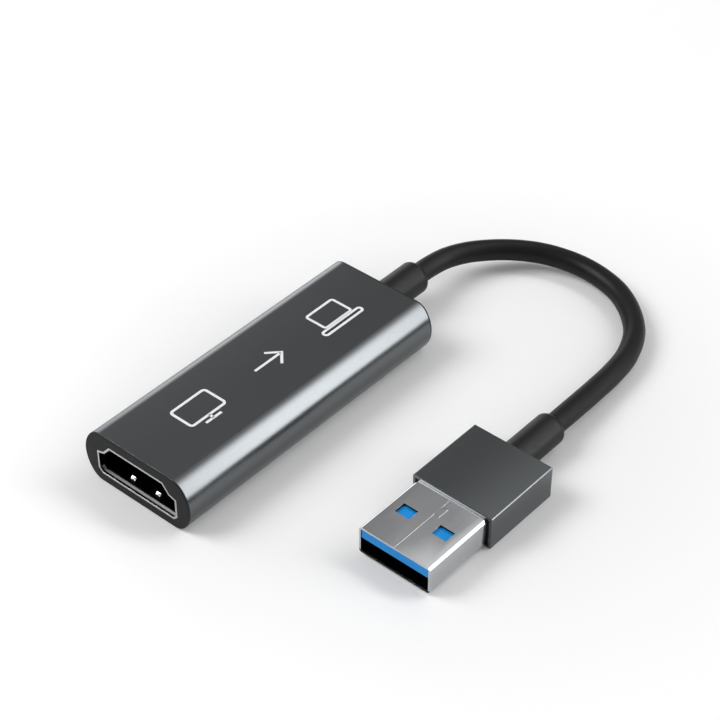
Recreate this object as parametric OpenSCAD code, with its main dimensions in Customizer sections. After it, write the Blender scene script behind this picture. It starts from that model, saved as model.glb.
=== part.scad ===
// Video capture box: a socket body, a short cable and a computer plug.
// The body lies along Y with its socket facing -Y, and stands on Z = 0.
// Millimetres throughout.

/* [Body] */
// Width of the body across its rounded sides
body_width = 19.8; // [19.4:0.1:24]
// Height of the body between its flat faces
body_height = 8.4; // [8.2:0.1:11]
// Length of the body from the socket end to the cable end
body_length = 50.5; // [48:0.5:70]
// How far each rounded side stands out past the flat faces
side_bulge = 3; // [2.6:0.1:3.6]
// How much less than that the radius of the corner arcs is
side_ease = 0.6; // [0.4:0.1:1]
// Wall of the extruded sleeve
sleeve_wall = 0.85; // [0.7:0.05:1]
// Thickness of the end caps' flanges, which cover the sleeve's ends
cap_flange = 0.3; // [0.2:0.05:0.6]
// Depth of the front cap, with its flange
front_cap_depth = 4; // [3:0.25:4.5]
// Depth of the rear cap, with its flange
rear_cap_depth = 2.5; // [2:0.25:4]
// Gap all round a piece that is pushed into another
fit_gap = 0.05; // [0.02:0.01:0.1]

/* [Video socket] */
// How far the socket's mouth sits back from the front cap's face
socket_recess = 0.2; // [0.1:0.05:0.4]
// Inside width of the socket
socket_width = 14; // [13.8:0.05:14.2]
// Inside height of the socket
socket_height = 4.55; // [4.4:0.05:4.7]
// Inside width of the socket's narrow wall
socket_narrow = 9.7; // [9.4:0.1:10.2]
// Height of the socket's straight sides above the wide wall
socket_side_height = 2.9; // [2.6:0.1:3.1]
// How far the shoulder steps in from the straight side
socket_step = 1; // [0.8:0.1:1.2]
// How far the shoulder rises over that step
socket_step_rise = 0.3; // [0.2:0.05:0.5]
// Corner cut between the wide wall and the straight sides
socket_corner = 0.4; // [0.2:0.1:0.6]
// Steel sheet of the socket's shell
socket_sheet = 0.3; // [0.25:0.05:0.4]
// Depth of the shell from its mouth to its back edge
socket_depth = 11; // [10:0.25:12]
// How far the mouth's lip stands out past the socket's walls, all round
lip_flare = 0.25; // [0.15:0.05:0.4]
// Depth of the lip
lip_depth = 0.6; // [0.4:0.05:0.65]

/* [Socket springs and tabs] */
// Width of a spring finger
finger_width = 0.9; // [0.8:0.1:1.6]
// Distance between the two spring fingers of a wall
finger_pitch = 4.8; // [4:0.1:5.5]
// Slit between a finger and the wall that it is cut from
finger_slit = 0.3; // [0.15:0.05:0.35]
// Depth in the socket at which a finger starts
finger_root = 6.6; // [6:0.1:7.5]
// Depth of the finger's crest
finger_crest = 1.6; // [1.5:0.1:2.4]
// Depth of the finger's tip
finger_tip = 1.25; // [1.2:0.05:1.4]
// How far the crest stands into the socket
finger_lift = 0.3; // [0.3:0.05:0.7]
// How far the tip turns back towards the wall
finger_drop = 0.3; // [0.1:0.05:0.3]
// Length of a board tab along the socket
tab_length = 1.8; // [1.2:0.1:2]
// How far a board tab stands out from the shell
tab_reach = 1; // [0.6:0.1:1.1]
// Depth in the socket of the middle of the front board tab
front_tab_depth = 5.6; // [5.2:0.1:6]
// Depth in the socket of the middle of the rear board tab
rear_tab_depth = 9.2; // [8.4:0.1:9.6]

/* [Socket contacts] */
// Width of the contact tongue
tongue_width = 10.4; // [10.2:0.1:11]
// Depth in the socket of the tongue's front edge
tongue_setback = 2.2; // [1.8:0.1:3]
// Depth of the block that closes the socket's back
insulator_depth = 3; // [2:0.25:4]
// Distance between neighbouring contacts of a row
contact_pitch = 1; // [0.95:0.01:1.05]
// Width of a contact
contact_width = 0.5; // [0.4:0.05:0.6]
// Thickness of a contact
contact_thickness = 0.15; // [0.12:0.01:0.2]
// Depth of the groove that a contact lies in
contact_groove = 0.1; // [0.05:0.01:0.12]
// Bare tongue in front of the contacts
contact_setback = 0.6; // [0.4:0.1:1]
// Length of a contact that lies on the board
contact_foot = 1.2; // [0.8:0.1:1.6]
// Contacts in the upper row
upper_contacts = 10; // [8:1:10]
// Contacts in the lower row
lower_contacts = 9; // [7:1:9]

/* [Board] */
// Thickness of the circuit board
board_thickness = 1; // [0.8:0.1:1.2]
// Gap between the board's long edges and the sleeve
board_side_gap = 0.4; // [0.2:0.05:0.5]
// Gap between the board's cut-out and the socket
notch_gap = 0.15; // [0.1:0.05:0.3]
// Thickness of the sleeve's board rails
rail_thickness = 0.6; // [0.4:0.1:0.8]
// How far the rails reach over the board's edge
rail_grip = 0.8; // [0.5:0.1:1]
// Gap between the rails and the parts that stand beside them
part_gap = 0.4; // [0.2:0.05:0.5]
// Room behind the board for the cable's cores
wire_room = 4.5; // [3.5:0.25:6]
// Width and length of the capture chip
chip_size = 8; // [6:0.5:9]
// Height of the capture chip
chip_height = 0.9; // [0.7:0.05:1.2]
// Diameter of the dimple that marks the capture chip's first corner
chip_dimple = 0.8; // [0.4:0.1:1]
// Diameter of the dimple on a chip with leads
leaded_dimple = 0.4; // [0.2:0.05:0.5]
// Depth of the dimples
dimple_depth = 0.1; // [0.05:0.05:0.2]
// Width of the memory chip between its leads
memory_width = 3.9; // [3:0.1:4.4]
// Length of the memory chip
memory_length = 4.9; // [4.8:0.1:5]
// Height of the memory chip
memory_height = 1.4; // [1:0.1:1.75]
// Distance between the memory chip's leads
memory_pitch = 1.27; // [1.2:0.01:1.3]
// Width of the voltage regulator between its leads
regulator_width = 1.6; // [1.2:0.1:1.8]
// Length of the voltage regulator
regulator_length = 2.9; // [2.7:0.1:3.1]
// Height of the voltage regulator
regulator_height = 1.1; // [0.9:0.05:1.4]
// Distance between the regulator's leads
regulator_pitch = 0.95; // [0.9:0.01:1]
// How far a chip's leads stand out before they turn down
lead_shoulder = 0.3; // [0.2:0.05:0.4]
// Length of a chip lead's foot
lead_foot = 0.6; // [0.4:0.05:0.8]
// Thickness of a chip lead
lead_thickness = 0.15; // [0.1:0.01:0.2]
// Width of a chip lead
lead_width = 0.4; // [0.3:0.05:0.5]
// Gap under a chip that stands on leads
lead_standoff = 0.1; // [0.05:0.05:0.2]
// Width of the clock crystal's ceramic base
crystal_width = 2.5; // [2:0.1:3]
// Length of the clock crystal's ceramic base
crystal_length = 3.2; // [2.5:0.1:3.4]
// Height of the clock crystal's ceramic base
crystal_base = 0.45; // [0.3:0.05:0.6]
// How far the crystal's lid sits in from its base
crystal_step = 0.15; // [0.1:0.05:0.3]
// Height of the crystal's lid
crystal_lid = 0.3; // [0.2:0.05:0.5]
// Width and length of the power inductor
inductor_size = 3; // [2.5:0.1:3.4]
// Height of the power inductor
inductor_height = 1.5; // [1:0.1:2]
// Corner radius of the inductor
inductor_corner = 0.4; // [0.2:0.1:0.8]
// Width of a surge array
array_width = 1; // [0.8:0.1:1.4]
// Length of a surge array
array_length = 2.5; // [2:0.1:2.6]
// Height of a surge array
array_height = 0.5; // [0.4:0.05:0.8]
// Width of a ceramic capacitor and of a chip resistor
small_width = 0.5; // [0.3:0.05:0.8]
// Length of a ceramic capacitor and of a chip resistor
small_length = 1; // [0.8:0.1:1.1]
// Height of a ceramic capacitor
capacitor_height = 0.5; // [0.3:0.05:0.8]
// Height of a chip resistor
resistor_height = 0.35; // [0.25:0.05:0.5]
// Width of the bulk capacitor
bulk_width = 1.6; // [1.2:0.1:2]
// Length of the bulk capacitor
bulk_length = 3.2; // [2.6:0.1:3.4]
// Height of the bulk capacitor
bulk_height = 1.5; // [1:0.1:2]
// Length of the metal end of a small part
end_length = 0.25; // [0.2:0.05:0.3]
// How much larger than the part its metal end is, all round
end_step = 0.02; // [0.01:0.01:0.04]

/* [Cable] */
// Diameter of the cable
cable_diameter = 3.3; // [3:0.1:3.4]
// Diameter of one insulated core
core_diameter = 0.7; // [0.5:0.05:0.8]
// Radius of the ring in which the cores leave the cable
core_ring = 1.1; // [1:0.05:1.15]
// Distance between the cores' pads on the board
pad_pitch = 3; // [2:0.25:3.5]
// Length of a core that lies on its pad
pad_run = 1.5; // [1:0.25:2.5]
// Straight stretch of a core where it leaves the cable
core_lead = 0.6; // [0.4:0.1:0.8]
// How far above the middle of the body the cable leaves
exit_rise = 0.3; // [0:0.05:0.4]
// Diameter of the body's strain relief
relief_diameter = 5.2; // [5:0.1:6]
// Length of the strain relief outside the rear cap
relief_length = 8.5; // [7:0.25:14]
// Radius of the strain reliefs' rounded ends
relief_rounding = 0.9; // [0.5:0.1:1]
// Diameter of its neck in the rear cap
relief_neck = 4.3; // [4:0.1:4.8]
// Thickness of its flange inside the rear cap
relief_flange_thickness = 1.2; // [0.8:0.1:1.6]
// Gap between the flange of either strain relief and the walls above and below it
flange_gap = 0.1; // [0.05:0.05:0.3]

/* [Plug] */
// Middle of the plug, to the right of the body's middle
plug_x = 34.7; // [28:0.1:50]
// Mouth of the plug's shell, ahead of or behind the body's middle
plug_y = -12.8; // [-20:0.1:10]
// Width of the plug's steel shell
shell_width = 12; // [11.9:0.05:12.1]
// Height of the plug's steel shell
shell_height = 4.5; // [4.4:0.05:4.55]
// Steel sheet of the plug's shell
shell_sheet = 0.3; // [0.25:0.05:0.35]
// Inside corner radius of the shell
shell_corner = 0.2; // [0.1:0.05:0.4]
// Length of shell outside the housing
shell_exposed = 11.8; // [11.4:0.1:13]
// Length of shell inside the housing
shell_buried = 6.5; // [5:0.25:7.5]
// Width of a window in the shell
window_width = 2.4; // [2:0.1:2.6]
// Length of a window in the shell
window_length = 1.9; // [1.6:0.05:2.2]
// Distance between the two windows of a wall
window_pitch = 6.2; // [5.8:0.1:6.8]
// Distance from the shell's mouth to the windows
window_setback = 5.25; // [4.8:0.05:5.6]
// Width of the shell's seam
seam_width = 0.1; // [0.06:0.02:0.16]
// Depth of the seam's groove
seam_depth = 0.12; // [0.08:0.02:0.16]
// Reach of the seam's dovetail to one side
dovetail_reach = 0.9; // [0.6:0.1:1.2]
// Length of the dovetail at the seam
dovetail_neck = 1.4; // [1:0.1:1.8]
// How much longer the dovetail is at its far end
dovetail_spread = 0.7; // [0.3:0.1:1]
// Distance from the mouth to the middle of the dovetail
dovetail_setback = 9; // [8.8:0.1:10]
// How far the housing stands out past each side of the shell
housing_side_step = 0.7; // [0.65:0.05:2]
// How far the housing stands out above and below the shell
housing_face_step = 0.45; // [0.45:0.05:1.5]
// Length of the housing
housing_length = 13.3; // [13:0.1:20]
// Wall of the housing
housing_wall = 0.4; // [0.3:0.05:0.4]
// Rear wall of the housing
housing_rear = 0.9; // [0.6:0.1:1.4]
// Radius of the housing's long edges
housing_edge = 0.2; // [0.1:0.05:0.4]
// Diameter of the plug's strain relief
plug_relief_diameter = 4.9; // [4.6:0.1:5.3]
// Length of the strain relief outside the housing
plug_relief_length = 9.2; // [7:0.1:14]
// Diameter of its neck in the rear wall
plug_relief_neck = 3.9; // [3.7:0.1:4.1]
// Thickness of its flange inside the housing
plug_flange_thickness = 0.8; // [0.6:0.1:1]

/* [Plug contacts] */
// Thickness of the insulator's tongue
plug_tongue = 1.5; // [1.4:0.05:1.7]
// How far the tongue sits back from the shell's mouth
plug_tongue_setback = 0.1; // [0.05:0.05:0.4]
// Depth of the plug's cavity
cavity_depth = 12.3; // [11.8:0.1:13]
// How far the insulator's back sits in from the shell's back edge
insulator_setback = 0.4; // [0.2:0.1:0.8]
// Distance between the two inner front contacts
inner_contact_pitch = 2; // [1.8:0.05:2.2]
// Distance between the two outer front contacts
outer_contact_pitch = 7; // [6.6:0.1:7.4]
// Width of a front contact
front_contact_width = 1; // [0.8:0.05:1.2]
// Distance from the mouth to the front contacts
front_contact_setback = 1.4; // [1:0.1:2]
// Depth at which a front contact turns up into the insulator
front_contact_end = 8.8; // [8.4:0.1:9.2]
// How far a front contact turns up
front_contact_rise = 0.9; // [0.7:0.05:1]
// Distance between neighbouring rear contacts
rear_contact_pitch = 2; // [1.8:0.05:2.2]
// Width of a rear contact
rear_contact_width = 0.6; // [0.5:0.05:0.8]
// Gap between the turn of the front contacts and the rear contacts
contact_row_gap = 0.8; // [0.4:0.1:1.2]
// Length of a rear contact's spring bow
bow_length = 1.6; // [1.2:0.1:2]
// How far the bow stands into the cavity
bow_lift = 0.5; // [0.3:0.05:0.7]
// Thickness of the plug's contacts
plug_contact_thickness = 0.2; // [0.15:0.01:0.25]
// How far the contacts stand proud of the tongue
contact_proud = 0.05; // [0.02:0.01:0.08]
// Length of a contact's tail behind the insulator
tail_length = 1.8; // [1.4:0.1:2]
// Wall of the core beside its wire chamber
core_wall = 0.9; // [0.6:0.1:1.2]
// Floor of the core's wire chamber, which is open above
core_floor = 0.5; // [0.4:0.05:0.6]

/* [Hidden] */
$fn = 48;
// Overshoot of a cut past the face that it opens
cut = 1;

// Body, from the socket end to the cable end
mid = body_height / 2;
front = -body_length / 2;
rear = body_length / 2;
face = front + socket_recess;
front_cap_end = front + front_cap_depth;
socket_end = face + socket_depth;
rear_cap_start = rear - rear_cap_depth;
cores_start = rear_cap_start - relief_flange_thickness;
exit_height = mid + exit_rise;
relief_flange = body_height - 2 * (sleeve_wall + exit_rise + flange_gap);

// Board
board_front = front_cap_end + fit_gap;
board_rear = cores_start - wire_room;
board_width = body_width - 2 * sleeve_wall - 2 * board_side_gap;
board_top = mid + board_thickness / 2;
board_bottom = mid - board_thickness / 2;
tongue_thickness = board_thickness + 2 * contact_groove;
part_edge = board_width / 2 - rail_grip - part_gap;
lead_reach = lead_shoulder + lead_foot;

// Places on the board: across from its middle, and along from the socket's back edge
chip_place = [0, 9.5];
memory_place = [memory_width / 2 + lead_reach - part_edge, 18.4];
crystal_place = [part_edge - crystal_width / 2, 12.4];
regulator_place = [part_edge - lead_reach - regulator_width / 2, 17.8];
inductor_place = [1.6, 17.6];
bulk_place = [part_edge - end_step - bulk_width / 2, 7.4];
array_places = [[-3, 3.4], [3, 3.4]];
left_row = small_width / 2 + end_step - part_edge;
capacitor_places = [
    [left_row, 6], [left_row, 8], [left_row, 10], [left_row, 12],
    [-3, 14.8], [0, 14.8], [3, 14.8], [0.8, 20.6], [2.8, 20.6]
];
resistor_places = [[-5, 4], [-2.5, 4], [0, 4], [2.5, 4], [5, 4], [-4, 9], [4, 9], [0, 12]];
// Leads on the right and on the left of a chip
memory_leads = [4, 4];
regulator_leads = [2, 3];

// Plug, from its mouth to its cable end, with the mouth at 0
housing_width = shell_width + 2 * housing_side_step;
housing_height = shell_height + 2 * housing_face_step;
plug_mid = housing_height / 2;
plug_relief_flange = housing_height - 2 * (housing_wall + flange_gap);
shell_end = shell_exposed + shell_buried;
housing_end = shell_exposed + housing_length;
chamber_end = housing_end - housing_rear;
plug_cores_start = chamber_end - plug_flange_thickness;
tongue_top = plug_mid + shell_height / 2 - shell_sheet - fit_gap;
tongue_bottom = tongue_top - plug_tongue;
insulator_end = shell_end - insulator_setback;
tail_end = insulator_end + tail_length;
contact_level = tongue_bottom - contact_proud;
front_tail_level = contact_level + front_contact_rise;
rear_contact_start = front_contact_end + contact_row_gap;
front_contact_places = [
    -outer_contact_pitch / 2, -inner_contact_pitch / 2, inner_contact_pitch / 2, outer_contact_pitch / 2
];
rear_contact_places = [-2, -1, 0, 1, 2] * rear_contact_pitch;

// Route of the cable's middle, from the body's strain relief round to the plug's
cable_route = [
    [0, 33.75, 4.5], [0, 36.7, 4.4], [0.4, 40.2, 4.2], [1.6, 43.6, 3.9], [3.4, 46.7, 3.5],
    [5.8, 49.6, 3.1], [8.7, 52, 2.7], [11.8, 53.5, 2.4], [15.5, 54.4, 2.1], [19.4, 54.3, 1.9],
    [23.6, 53.1, 1.8], [27.6, 50.5, 1.7], [31, 46.7, 1.7], [33.1, 41.8, 1.7], [33.9, 36.9, 1.8],
    [34.2, 32, 2], [34.5, 26.7, 2.4], [34.7, 21.5, 2.7]
];
cable_sides = 8;
core_sides = 6;
// Places of four cores across a half ring, from right to left
core_angles = [22.5, 67.5, 112.5, 157.5];

// Shapes that are used more than once

function unit(v) = v / norm(v);

// An outline moved outwards by a distance, with its corners kept sharp
function grown(points, by) =
    let (n = len(points))
    [for (i = [0:n - 1])
        let (before = unit(points[i] - points[(i + n - 1) % n]),
             after = unit(points[(i + 1) % n] - points[i]),
             out_before = [before[1], -before[0]],
             out_after = [after[1], -after[0]])
        points[i] + by * (out_before + out_after) / (1 + out_before * out_after)];

// The socket's outline inside: a wide wall below, stepped shoulders and a narrow wall above
socket_half = [socket_width, socket_height] / 2;
shoulder = socket_side_height - socket_half[1];
socket_right = [
    [socket_half[0] - socket_corner, -socket_half[1]], [socket_half[0], socket_corner - socket_half[1]],
    [socket_half[0], shoulder], [socket_half[0] - socket_step, shoulder + socket_step_rise],
    [socket_narrow / 2, socket_half[1]]
];
socket_inside = concat(
    socket_right,
    [for (i = [len(socket_right) - 1:-1:0]) [-socket_right[i][0], socket_right[i][1]]]
);
lip_inside = grown(socket_inside, lip_flare);

// Solid of an outline drawn across the body and upwards, run along Y
module along_y(start, length) {
    translate([0, start + length, 0])
        rotate([90, 0, 0])
            linear_extrude(length)
                children();
}

// Solid of an outline drawn along Y and upwards, centred across the body
module across_x(width) {
    rotate([90, 0, 90])
        linear_extrude(width, center = true)
            children();
}

// Flat above and below, with each side one large arc run into two corner arcs
module oval(width, height, bulge) {
    half = height / 2;
    corner = bulge - side_ease;
    big = pow(half - bulge, 2) / (2 * side_ease) + half;
    turn = atan2(half - corner, big - bulge);
    reach = 2 * big;
    square([width - 2 * bulge, height], center = true);
    for (side = [0, 1])
        mirror([side, 0]) {
            for (end = [-1, 1])
                translate([width / 2 - bulge, end * (half - corner)])
                    circle(corner);
            translate([width / 2 - big, 0])
                intersection() {
                    circle(big);
                    polygon([[0, 0], reach * [cos(turn), sin(turn)], reach * [cos(turn), -sin(turn)]]);
                }
        }
}

// The body's outline, moved in from its outside by a distance
module body_outline(inset) {
    translate([0, mid])
        oval(body_width - 2 * inset, body_height - 2 * inset, side_bulge - inset);
}

module rounded_square(width, height, radius) {
    square([width - 2 * radius, height], center = true);
    square([width, height - 2 * radius], center = true);
    for (x = [-1, 1], y = [-1, 1])
        translate([x * (width / 2 - radius), y * (height / 2 - radius)])
            circle(radius);
}

// A round tube swept along points, with its two end faces square to Y
module tube(points, diameter, sides) {
    n = len(points);
    function heading(i) = i == 0 || i == n - 1
        ? [0, sign(points[min(i + 1, n - 1)][1] - points[max(i - 1, 0)][1]), 0]
        : unit(points[i + 1] - points[i - 1]);
    rings = [for (i = [0:n - 1])
        let (ahead = heading(i),
             side = unit(cross(ahead, [0, 0, 1])),
             up = cross(side, ahead))
        for (j = [0:sides - 1])
            let (turn = 360 * (j + 0.5) / sides)
            points[i] + diameter / 2 * (cos(turn) * side + sin(turn) * up)];
    walls = [for (i = [0:n - 2], j = [0:sides - 1])
        let (a = i * sides + j,
             b = i * sides + (j + 1) % sides)
        each [[a, b + sides, b], [a, a + sides, b + sides]]];
    ends = [for (j = [1:sides - 2])
        each [[0, j, j + 1],
              [(n - 1) * sides, (n - 1) * sides + j + 1, (n - 1) * sides + j]]];
    polyhedron(rings, concat(walls, ends));
}

// A strain relief along +Y from its flange: flange, neck in a wall, and barrel with a rounded end
module strain_relief(flange, flange_thickness, neck, neck_length, barrel, length) {
    base = flange_thickness + neck_length;
    rotate([-90, 0, 0])
        rotate_extrude() {
            square([flange / 2, flange_thickness]);
            square([neck / 2, base + length / 2]);
            translate([0, base]) {
                square([barrel / 2, length - relief_rounding]);
                square([barrel / 2 - relief_rounding, length]);
                translate([barrel / 2 - relief_rounding, length - relief_rounding])
                    intersection() {
                        circle(relief_rounding);
                        square(relief_rounding);
                    }
            }
        }
}

// Moves a piece drawn on a flat face to a place on the board's upper or lower face
module on_board(place, below = false) {
    translate([place[0], socket_end + place[1], below ? board_bottom : board_top])
        mirror([0, 0, below ? 1 : 0])
            children();
}

module at_plug() {
    translate([plug_x, plug_y, 0])
        children();
}

module block(size) {
    translate([-size[0] / 2, -size[1] / 2, 0])
        cube(size);
}

// A chip's body, with a dimple by its first corner
module chip_body(size, dimple) {
    difference() {
        block(size);
        translate([dimple - size[0] / 2, dimple - size[1] / 2, size[2] - dimple_depth])
            cylinder(d = dimple, h = dimple_depth + cut);
    }
}

// A chip that stands on bent leads, whose pitch is doubled on a side that leaves one out
module leaded_chip(size, pitch, leads) {
    translate([0, 0, lead_standoff])
        chip_body([size[0], size[1], size[2] - lead_standoff], leaded_dimple);
    for (side = [0, 1])
        mirror([side, 0, 0]) {
            step = leads[side] < max(leads) ? 2 * pitch : pitch;
            for (i = [0:leads[side] - 1])
                translate([size[0] / 2, (i - (leads[side] - 1) / 2) * step - lead_width / 2, 0])
                    lead(size[2] / 2);
        }
}

// One bent lead, from the board up to a height in the chip's side
module lead(height) {
    turn = lead_shoulder + lead_thickness;
    translate([0, lead_width, 0])
        rotate([90, 0, 0])
            linear_extrude(lead_width)
                polygon([[lead_shoulder, 0], [lead_reach, 0], [lead_reach, lead_thickness],
                         [turn, lead_thickness], [turn, height], [-lead_thickness, height],
                         [-lead_thickness, height - lead_thickness],
                         [lead_shoulder, height - lead_thickness]]);
}

// A small part with a metal end at both ends of its length
module ended_part(size) {
    block(size);
    for (end = [-1, 1])
        translate([0, end * (size[1] - end_length) / 2, 0])
            block([size[0] + 2 * end_step, end_length, size[2] + end_step]);
}

// The body

module body_sleeve() {
    color("#4c4f52") {
        along_y(front + cap_flange, body_length - 2 * cap_flange)
            difference() {
                body_outline(0);
                body_outline(sleeve_wall);
            }
        // Rails for the board, milled back at both ends
        along_y(socket_end, rear_cap_start - fit_gap - socket_end)
            intersection() {
                body_outline(sleeve_wall / 2);
                translate([0, mid])
                    for (side = [0, 1], above = [0, 1])
                        mirror([side, 0])
                            mirror([0, above])
                                translate([board_width / 2 - rail_grip, board_thickness / 2 + fit_gap])
                                    square([body_width / 2, rail_thickness]);
            }
    }
}

module front_cap() {
    color("#232425")
        difference() {
            union() {
                along_y(front, cap_flange)
                    body_outline(0);
                along_y(front, front_cap_depth)
                    body_outline(sleeve_wall + fit_gap);
            }
            along_y(front - cut, cut + socket_recess + lip_depth + socket_sheet + fit_gap)
                translate([0, mid])
                    polygon(grown(lip_inside, socket_sheet + fit_gap));
            along_y(front, front_cap_depth + cut)
                translate([0, mid])
                    polygon(grown(socket_inside, socket_sheet + fit_gap));
        }
}

module rear_cap() {
    color("#232425")
        difference() {
            union() {
                along_y(rear_cap_start, rear_cap_depth)
                    body_outline(sleeve_wall + fit_gap);
                along_y(rear - cap_flange, cap_flange)
                    body_outline(0);
            }
            translate([0, rear_cap_start - cut, exit_height])
                rotate([-90, 0, 0])
                    cylinder(d = relief_neck + 2 * fit_gap, h = rear_cap_depth + 2 * cut);
        }
}

// Both walls of the socket have two fingers, so each is drawn four times
module at_fingers() {
    for (x = [-1, 1], above = [0, 1])
        translate([x * finger_pitch / 2, face, mid])
            mirror([0, 0, above])
                translate([0, 0, -socket_height / 2])
                    children();
}

module socket_shell() {
    color("#b4b7b9") {
        difference() {
            union() {
                along_y(face, lip_depth + socket_sheet)
                    translate([0, mid])
                        polygon(grown(lip_inside, socket_sheet));
                along_y(face, socket_depth)
                    translate([0, mid])
                        polygon(grown(socket_inside, socket_sheet));
            }
            along_y(face - cut, cut + lip_depth)
                translate([0, mid])
                    polygon(lip_inside);
            along_y(face - cut, socket_depth + 2 * cut)
                translate([0, mid])
                    polygon(socket_inside);
            at_fingers()
                translate([-finger_width / 2 - finger_slit, finger_tip - finger_slit, -socket_sheet - cut])
                    cube([finger_width + 2 * finger_slit, finger_root - finger_tip + finger_slit,
                          socket_sheet + 2 * cut]);
        }
        at_fingers()
            across_x(finger_width)
                polygon([[finger_root + socket_sheet, -socket_sheet], [finger_root + socket_sheet, 0],
                         [finger_crest, finger_lift], [finger_tip, finger_lift - finger_drop],
                         [finger_tip, finger_lift - finger_drop - socket_sheet],
                         [finger_crest, finger_lift - socket_sheet]]);
        // Tabs that the board's two arms are soldered to
        for (side = [0, 1], depth = [front_tab_depth, rear_tab_depth])
            mirror([side, 0, 0])
                translate([socket_width / 2 + socket_sheet / 2, face + depth - tab_length / 2,
                           board_bottom - socket_sheet])
                    cube([socket_sheet / 2 + tab_reach, tab_length, socket_sheet]);
    }
}

// A row of flat contacts that lie in the tongue and reach back onto the board
module contact_row(count, level) {
    start = face + tongue_setback + contact_setback;
    for (i = [0:count - 1])
        translate([(i - (count - 1) / 2) * contact_pitch - contact_width / 2, start, level])
            cube([contact_width, socket_end + notch_gap + contact_foot - start, contact_thickness]);
}

module upper_row() {
    contact_row(upper_contacts, board_top);
}

module lower_row() {
    contact_row(lower_contacts, board_bottom - contact_thickness);
}

module socket_insulator() {
    color("#161616")
        difference() {
            union() {
                along_y(socket_end - insulator_depth, insulator_depth)
                    translate([0, mid])
                        polygon(grown(socket_inside, -fit_gap));
                translate([-tongue_width / 2, face + tongue_setback, mid - tongue_thickness / 2])
                    cube([tongue_width, socket_depth - tongue_setback, tongue_thickness]);
            }
            upper_row();
            lower_row();
        }
}

module socket_upper_contacts() {
    color("#c9a45a")
        upper_row();
}

module socket_lower_contacts() {
    color("#c9a45a")
        lower_row();
}

// The board and what is soldered to it

module main_board() {
    notch_width = socket_width + 2 * socket_sheet + 2 * notch_gap;
    color("#1f5a3a")
        translate([0, 0, board_bottom])
            linear_extrude(board_thickness)
                difference() {
                    translate([-board_width / 2, board_front])
                        square([board_width, board_rear - board_front]);
                    translate([-notch_width / 2, board_front - cut])
                        square([notch_width, socket_end + notch_gap - board_front + cut]);
                }
}

module capture_chip() {
    color("#2a2a2c")
        on_board(chip_place)
            chip_body([chip_size, chip_size, chip_height], chip_dimple);
}

module memory_chip() {
    color("#2a2a2c")
        on_board(memory_place)
            leaded_chip([memory_width, memory_length, memory_height], memory_pitch, memory_leads);
}

module voltage_regulator() {
    color("#2a2a2c")
        on_board(regulator_place)
            leaded_chip([regulator_width, regulator_length, regulator_height], regulator_pitch,
                        regulator_leads);
}

module clock_crystal() {
    color("#b9b9b4")
        on_board(crystal_place) {
            block([crystal_width, crystal_length, crystal_base]);
            block([crystal_width - 2 * crystal_step, crystal_length - 2 * crystal_step,
                   crystal_base + crystal_lid]);
        }
}

module power_inductor() {
    color("#5b5b5e")
        on_board(inductor_place)
            linear_extrude(inductor_height)
                rounded_square(inductor_size, inductor_size, inductor_corner);
}

module bulk_capacitor() {
    color("#9a7b5b")
        on_board(bulk_place)
            ended_part([bulk_width, bulk_length, bulk_height]);
}

module surge_arrays() {
    color("#2a2a2c")
        for (place = array_places)
            on_board(place)
                block([array_width, array_length, array_height]);
}

module ceramic_capacitors() {
    color("#a8845f")
        for (place = capacitor_places)
            on_board(place)
                ended_part([small_width, small_length, capacitor_height]);
}

module chip_resistors() {
    color("#1d1d1f")
        for (place = resistor_places)
            on_board(place, below = true)
                ended_part([small_width, small_length, resistor_height]);
}

// The cable's cores, in order from right to left

// One core from the body's strain relief to its pad on the board
module board_core(i, below = false) {
    side = below ? -1 : 1;
    level = mid + side * (board_thickness + core_diameter) / 2;
    place = ((len(core_angles) - 1) / 2 - i) * pad_pitch;
    turn = side * core_angles[i];
    out = [core_ring * cos(turn), cores_start, exit_height + core_ring * sin(turn)];
    tube([out, out - [0, core_lead, 0], [place, board_rear + core_lead, level],
          [place, board_rear - pad_run, level]], core_diameter, core_sides);
}

module board_power_wires() {
    color("#b5342c")
        for (i = [0, 3])
            board_core(i);
}

module board_data_wires() {
    color("#d8d8d2")
        for (i = [1, 2])
            board_core(i);
}

module board_fast_wires() {
    color("#3b6ea8")
        for (i = [0:3])
            board_core(i, below = true);
}

// The cable

module body_strain_relief() {
    color("#2b2d2d")
        translate([0, cores_start, exit_height])
            strain_relief(relief_flange, relief_flange_thickness, relief_neck, rear_cap_depth,
                          relief_diameter, relief_length);
}

module cable() {
    color("#262727")
        tube(cable_route, cable_diameter, cable_sides);
}

module plug_strain_relief() {
    color("#2b2d2d")
        at_plug()
            translate([0, plug_cores_start, plug_mid])
                strain_relief(plug_relief_flange, plug_flange_thickness, plug_relief_neck, housing_rear,
                              plug_relief_diameter, plug_relief_length);
}

// The plug

module plug_housing() {
    color("#4c4f52")
        at_plug()
            difference() {
                along_y(shell_exposed, housing_length)
                    translate([0, plug_mid])
                        rounded_square(housing_width, housing_height, housing_edge);
                along_y(shell_exposed - cut, housing_length - housing_rear + cut)
                    translate([0, plug_mid])
                        square([housing_width - 2 * housing_wall, housing_height - 2 * housing_wall],
                               center = true);
                translate([0, shell_exposed, plug_mid])
                    rotate([-90, 0, 0])
                        cylinder(d = plug_relief_neck + 2 * fit_gap, h = housing_length + cut);
            }
}

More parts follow.
